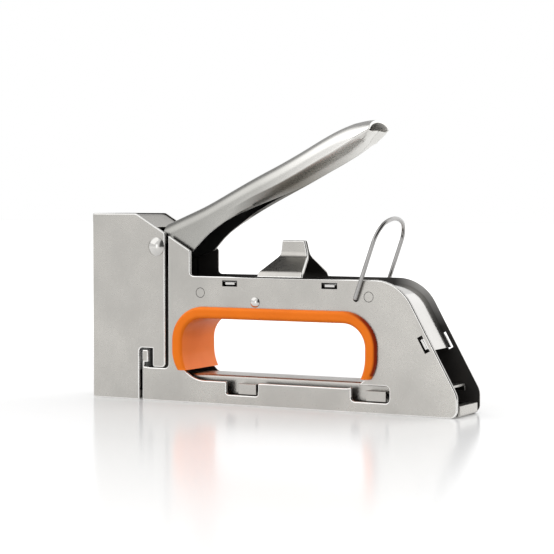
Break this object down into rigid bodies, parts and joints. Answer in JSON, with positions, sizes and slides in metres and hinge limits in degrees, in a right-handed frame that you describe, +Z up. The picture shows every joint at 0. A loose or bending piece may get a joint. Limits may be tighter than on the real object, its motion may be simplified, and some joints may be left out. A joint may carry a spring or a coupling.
{
  "type": "staple tacker",
  "caption": "Hand-squeezed staple tacker: pressed steel body, moulded finger grip, sprung channel lever lifting a plunger and blade, pull-out magazine and a wire bail.",
  "frame": {"origin": "on the floor under the middle of the tool", "axes": "+Z up, nose towards -X, heel and magazine drawer towards +X, -Y is the left side of someone aiming the tool"},
  "size_m": [0.178, 0.0306, 0.1228],
  "materials": {
    "plated_steel": "satin bright plating",
    "polished_steel": "polished plating",
    "orange_moulding": "semi-gloss moulded orange",
    "bright_wire": "bright drawn wire",
    "spring_steel": "oiled spring wire",
    "inner_steel": "plain steel",
    "bumper_rubber": "matt black"
  },
  "bodies": {
    "body": {"head_casing": "plated_steel", "head_cap": "plated_steel", "left_side_plate": "plated_steel", "right_side_plate": "plated_steel", "spine_strip": "plated_steel", "grip_insert": "orange_moulding", "magazine_channel": "plated_steel", "spring_guide": "inner_steel", "main_spring": "spring_steel", "blade_guide": "inner_steel", "plunger_bumper": "bumper_rubber", "pivot_bush": "inner_steel", "lever_pivot_rivet": "polished_steel", "body_rivets": "polished_steel", "rivet_spacers": "inner_steel"},
    "lever": {"lever": "polished_steel"},
    "striker": {"plunger": "inner_steel", "driver_blade": "inner_steel"},
    "drawer": {"magazine_tray": "plated_steel", "staple_rail": "inner_steel", "pusher_rod": "bright_wire", "pusher_spring": "spring_steel"},
    "pusher": {"staple_pusher": "inner_steel"},
    "bail": {"wire_bail": "bright_wire"}
  },
  "joints": [
    {"name": "lever_hinge", "type": "hinge", "parent": "body", "child": "lever", "pos_m": [-0.0546, 0, 0.0686], "axis": [0, 1, 0], "range_deg": [0, 18], "stiffness_Nm_per_rad": 12, "springref_deg": -11.46},
    {"name": "plunger_slide", "type": "slide", "parent": "body", "child": "striker", "axis": [0, 0, 1], "range_m": [0, 0.0078], "deforming": ["main_spring"]},
    {"name": "drawer_slide", "type": "slide", "parent": "body", "child": "drawer", "axis": [1, 0, 0], "range_m": [0, 0.1]},
    {"name": "pusher_slide", "type": "slide", "parent": "drawer", "child": "pusher", "axis": [1, 0, 0], "range_m": [0, 0.1], "stiffness_N_per_m": 40, "springref_m": -0.05, "deforming": ["pusher_spring"]},
    {"name": "bail_hinge", "type": "hinge", "parent": "body", "child": "bail", "pos_m": [0.0434, 0, 0.0475], "axis": [0, 1, 0], "range_deg": [0, 75]}
  ],
  "couplings": [
    {"joint": "plunger_slide", "follows": "lever_hinge", "m_per_rad": 0.0244}
  ]
}
